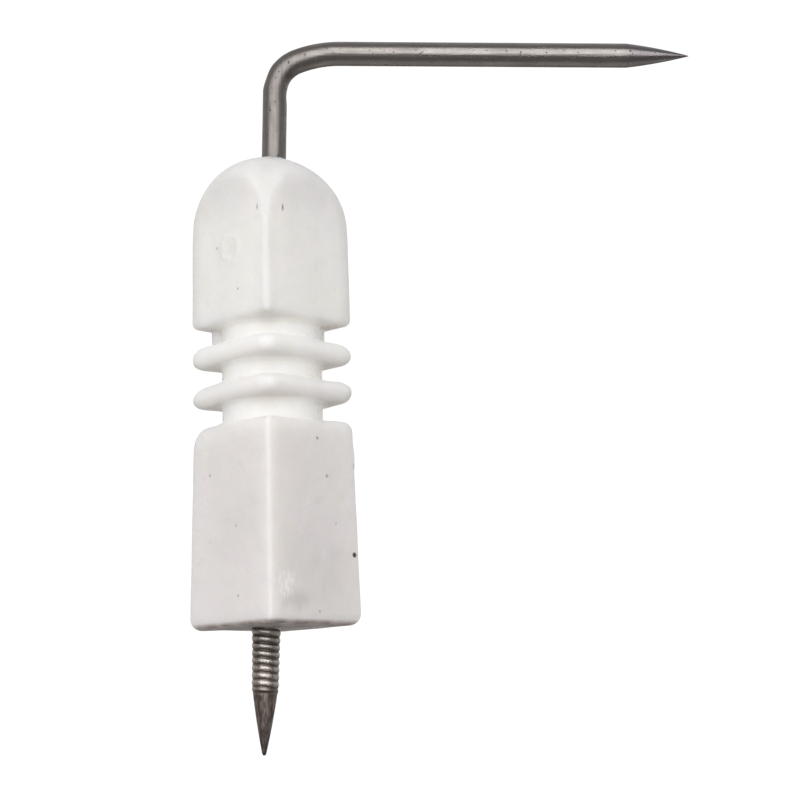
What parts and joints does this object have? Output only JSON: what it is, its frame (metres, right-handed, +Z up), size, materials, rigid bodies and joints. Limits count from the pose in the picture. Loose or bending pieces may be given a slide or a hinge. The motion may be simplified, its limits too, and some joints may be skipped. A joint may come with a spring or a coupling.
{
  "type": "fence insulator",
  "caption": "Square moulded plastic insulator with wire grooves under a domed head, turning on an L-shaped steel drive pin with a ring-shank end.",
  "frame": {"origin": "centre of the body's flat bottom face, which rests on the post", "axes": "+Z up along the drive pin, +X along the pin's bent leg; the body's own axis leans 1.75 degrees from +Z towards -X"},
  "size_m": [0.0819, 0.027, 0.1168],
  "materials": {
    "white_plastic": "satin",
    "pin_steel": "bright drawn wire, slightly dull"
  },
  "bodies": {
    "pin": {"drive_pin": "pin_steel"},
    "insulator": {"insulator_body": "white_plastic"}
  },
  "joints": [
    {"name": "body_swivel", "type": "hinge", "parent": "pin", "child": "insulator", "pos_m": [-0.00152, 0, 0.0385], "axis": [0, 0, 1], "continuous": true}
  ]
}
